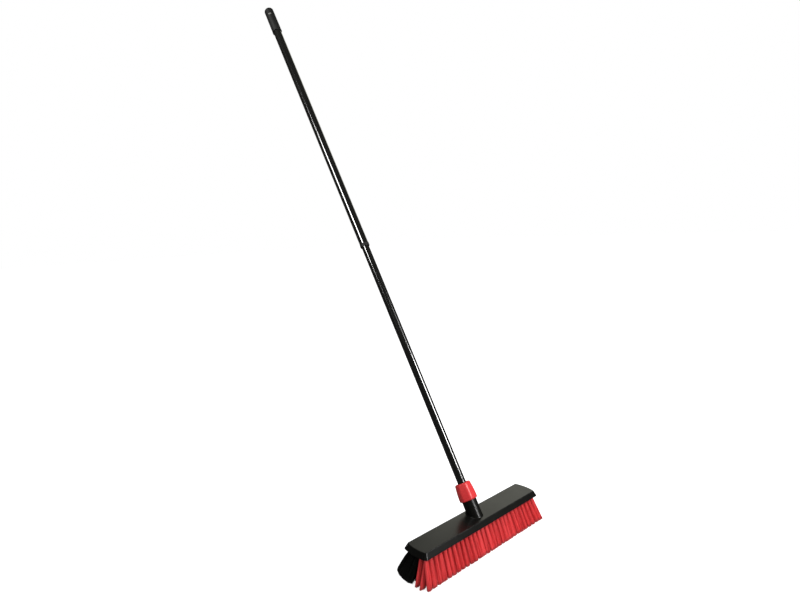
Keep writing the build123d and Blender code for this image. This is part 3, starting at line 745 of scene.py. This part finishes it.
# %% Plant the black rows
BLACK_SEED = 30
black_look = {
    "strands": 140, "radius": 0.00050, "tip_taper": 0.9, "root": (0.0056, 0.0028), "fan": (0.0066, 0.0080),
    "squareness": 0.85, "stray": 0.0004, "tuft_drift": 0.0003, "tip_rise": 0.0003, "tip_uneven": 0.0004,
    "reach": 0.008, "lean": 0.0, "bow": 0.88,
    "half_drift": 0.0, "half_spread": 0.3, "shade_spread": 0.4,
}
for number, node in enumerate(black_nodes, start=1):
    black_row = plant_row(
        "black_tufts_%d" % number, node, fine_strand, black_bristle,
        TUFTS - number % 2, black_look, BLACK_SEED + number, black_outline,
    )
    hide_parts(node)

# %% [markdown]
# ## The floor
# The studio floor is a plain pale sheet, large enough that its edge is never seen. It lies a hair below the
# tips, so that the two don't fight for the same pixels. A grid of one square is all that it needs.

# %% Lay the floor
FLOOR_SIZE = 40.0
FLOOR_DROP = 0.0005

sheet = bmesh.new()
bmesh.ops.create_grid(sheet, x_segments=1, y_segments=1, size=FLOOR_SIZE / 2)
bmesh.ops.translate(sheet, vec=(0.0, 0.0, -FLOOR_DROP), verts=sheet.verts[:])
floor_mesh = bpy.data.meshes.new("floor")
sheet.to_mesh(floor_mesh)
sheet.free()
floor = bpy.data.objects.new("floor", floor_mesh)
scene.collection.objects.link(floor)
print("floor:", FLOOR_SIZE, "m wide")

# %% [markdown]
# A glow that only the camera sees carries the floor to full white without putting more light on the broom.
# Only a small part of a real studio floor is lit, so light that bounces up from it under the head is dimmer,
# and the glossy tubes mirror a floor that is nearly black. Light Path tells these kinds of ray apart.

# %% Paint the floor
FLOOR_GLOW = 0.70
FLOOR_WHITE = (1.0, 1.0, 1.0, 1.0)
FLOOR_PALE, FLOOR_BOUNCE, FLOOR_MIRRORED = (0.80, 0.80, 0.80), (0.45, 0.45, 0.45), (0.06, 0.06, 0.06)


def seen_directly(tree):
    rays = add(tree, "ShaderNodeLightPath", "kind of ray")
    mirrored = add(tree, "ShaderNodeMath", "glossy or through glass", operation="MAXIMUM")
    tree.links.new(rays.outputs["Is Glossy Ray"], mirrored.inputs[0])
    tree.links.new(rays.outputs["Is Transmission Ray"], mirrored.inputs[1])
    return rays.outputs["Is Camera Ray"], mirrored.outputs["Value"]


floor_paint, tree, shader, _ = new_finish("floor_paint")
shader.inputs["Roughness"].default_value = 0.9
shader.inputs["Specular IOR Level"].default_value = 0.0
shader.inputs["Emission Color"].default_value = FLOOR_WHITE
by_camera, by_mirror = seen_directly(tree)
unseen = blend_colours(tree, by_mirror, FLOOR_BOUNCE, FLOOR_MIRRORED, "bounce or mirror")
floor_tone = add(tree, "ShaderNodeMix", "tone", data_type="RGBA")
floor_tone.inputs["B"].default_value = (*FLOOR_PALE, 1.0)
tree.links.new(unseen, floor_tone.inputs["A"])
tree.links.new(by_camera, floor_tone.inputs["Factor"])
tree.links.new(floor_tone.outputs["Result"], shader.inputs["Base Color"])
glow = add(tree, "ShaderNodeMath", "own light to the camera", operation="MULTIPLY")
glow.inputs[1].default_value = FLOOR_GLOW
tree.links.new(by_camera, glow.inputs[0])
tree.links.new(glow.outputs["Value"], shader.inputs["Emission Strength"])
floor_mesh.materials.append(floor_paint)
print("finish:", floor_paint.name)

# %% [markdown]
# ## The room
# To the right behind the broom hangs a white card, a smaller pale patch is overhead, and the rest of the
# studio is dim. Gloss is mostly a picture of the room, so these two patches are what makes the flat top of
# the head shine grey while its front slope stays black. Real cards could hang in the scene, but they would
# light the broom too. Two soft spots in the world's own light are seen by reflections alone.

# %% Hang the card and the overhead patch
DIM_ROOM = 0.035
CARD_DIRECTION, OVERHEAD_DIRECTION = (0.75, 0.50, 0.43), (-0.30, 0.15, 0.85)
CARD_CORE, CARD_EDGE, CARD_GLOW = math.radians(8.0), math.radians(20.0), 0.93
OVERHEAD_CORE, OVERHEAD_EDGE, OVERHEAD_GLOW = math.radians(6.0), math.radians(18.0), 0.40

world = bpy.data.worlds.new("studio")
scene.world = world
world.use_nodes = True
tree = world.node_tree
background = tree.nodes["Background"]
direction = add(tree, "ShaderNodeTexCoord", "direction")


def soft_patch(name, middle, core, edge, low, high):
    towards = add(tree, "ShaderNodeVectorMath", "towards " + name, operation="DOT_PRODUCT")
    towards.inputs[1].default_value = Vector(middle).normalized()
    tree.links.new(direction.outputs["Generated"], towards.inputs[0])
    patch = add(tree, "ShaderNodeMapRange", "edge of " + name, interpolation_type="SMOOTHSTEP")
    patch.inputs["From Min"].default_value = math.cos(edge)
    patch.inputs["From Max"].default_value = math.cos(core)
    patch.inputs["To Min"].default_value = low
    patch.inputs["To Max"].default_value = high
    tree.links.new(towards.outputs["Value"], patch.inputs["Value"])
    return patch.outputs["Result"]


card = soft_patch("the card", CARD_DIRECTION, CARD_CORE, CARD_EDGE, DIM_ROOM, CARD_GLOW)
overhead = soft_patch("the ceiling", OVERHEAD_DIRECTION, OVERHEAD_CORE, OVERHEAD_EDGE, 0.0, OVERHEAD_GLOW)
mirrored_room = add(tree, "ShaderNodeMath", "what mirrors see", operation="ADD")
tree.links.new(card, mirrored_room.inputs[0])
tree.links.new(overhead, mirrored_room.inputs[1])
print("world: card %.2f, overhead patch %.2f" % (CARD_GLOW, OVERHEAD_GLOW))

# %% [markdown]
# The world answers three kinds of ray. The camera sees plain white. Reflections see the room with its two
# patches, in a slightly warm tone. Everything else gets a soft fill from the ceiling, which fades towards the
# horizon so that the lip of the head shades the bristles.

# %% Light the world
CEILING_FILL = 0.80
PLAIN_WHITE, ROOM_WARM = (1.0, 1.0, 1.0), (1.0, 1.0, 0.87)

by_camera, by_mirror = seen_directly(tree)
room_tone = blend_colours(tree, by_mirror, PLAIN_WHITE, ROOM_WARM, "tone")
tree.links.new(room_tone, background.inputs["Color"])
height = add(tree, "ShaderNodeSeparateXYZ", "height")
tree.links.new(direction.outputs["Generated"], height.inputs["Vector"])
ceiling = add(tree, "ShaderNodeMapRange", "ceiling")
ceiling.inputs["To Max"].default_value = CEILING_FILL
tree.links.new(height.outputs["Z"], ceiling.inputs["Value"])
room = add(tree, "ShaderNodeMix", "fill or reflection", data_type="FLOAT")
tree.links.new(ceiling.outputs["Result"], room.inputs["A"])
tree.links.new(by_mirror, room.inputs["Factor"])
tree.links.new(mirrored_room.outputs["Value"], room.inputs["B"])
strength = add(tree, "ShaderNodeMix", "camera sees white", data_type="FLOAT")
strength.inputs["B"].default_value = 1.0
tree.links.new(by_camera, strength.inputs["Factor"])
tree.links.new(room.outputs["Result"], strength.inputs["A"])
tree.links.new(strength.outputs["Result"], background.inputs["Strength"])
print("world: ceiling fill %.2f" % CEILING_FILL)

# %% [markdown]
# ## The lamps
# A lamp draws a stripe along a round tube, and its place decides where the stripe lies. A broad soft box in
# front and to the right lights the bristles and makes the stripe on the lower tube, and a dim box above it
# lets that stripe fade in slowly. A long box on the left makes the stripe on the upper tube. Its spread is
# narrow, as a grid on a real box makes it, so it hardly lights anything else. A small low box lights the
# front of the bristles and draws the stripe on the head's socket.

# %% Hang the soft boxes
FULL_SPREAD, GRID_SPREAD = 180.0, 80.0
FRONT_SLOPE = (0.0, 0.54, 0.84)


def soft_box(name, place, target, long_axis, width, length, radiance, spread=FULL_SPREAD):
    lamp = bpy.data.lights.new(name, "AREA")
    lamp.shape = "RECTANGLE"
    lamp.size = width
    lamp.size_y = length
    lamp.energy = radiance * math.pi * width * length
    lamp.spread = math.radians(spread)
    box = bpy.data.objects.new(name, lamp)
    scene.collection.objects.link(box)
    up = Vector(long_axis).normalized()
    back = Vector(place) - Vector(target)
    back = (back - back.dot(up) * up).normalized()
    turn = Matrix((up.cross(back), up, back)).transposed()
    box.matrix_world = Matrix.Translation(Vector(place)) @ turn.to_4x4()
    box.visible_camera = False
    print(name, "gives", round(lamp.energy, 1), "W")


soft_box(
    "front_box", place=(0.515, -1.137, 1.108), target=(0.0, 0.10, 0.25), long_axis=FRONT_SLOPE,
    width=0.37, length=0.62, radiance=22.0,
)
soft_box(
    "front_box_top", place=(0.515, -0.89, 1.49), target=(0.0, 0.20, 0.40), long_axis=FRONT_SLOPE,
    width=0.20, length=0.28, radiance=4.0,
)
soft_box(
    "low_box", place=(0.25, -1.45, 0.67), target=(0.0, 0.0, 0.08), long_axis=(0.0, 0.40, 0.92),
    width=0.16, length=0.3, radiance=24.0,
)
soft_box(
    "side_strip", place=(-1.31, 0.301, 1.684), target=(0.0, 0.40, 0.77), long_axis=(0.0, 0.83, 0.55),
    width=0.35, length=0.76, radiance=5.2, spread=GRID_SPREAD,
)

# %% [markdown]
# ## Finish
# The colours are meant as they are written, so the view stays on the Standard transform.

# %% Set the view transform
scene.view_settings.view_transform = "Standard"
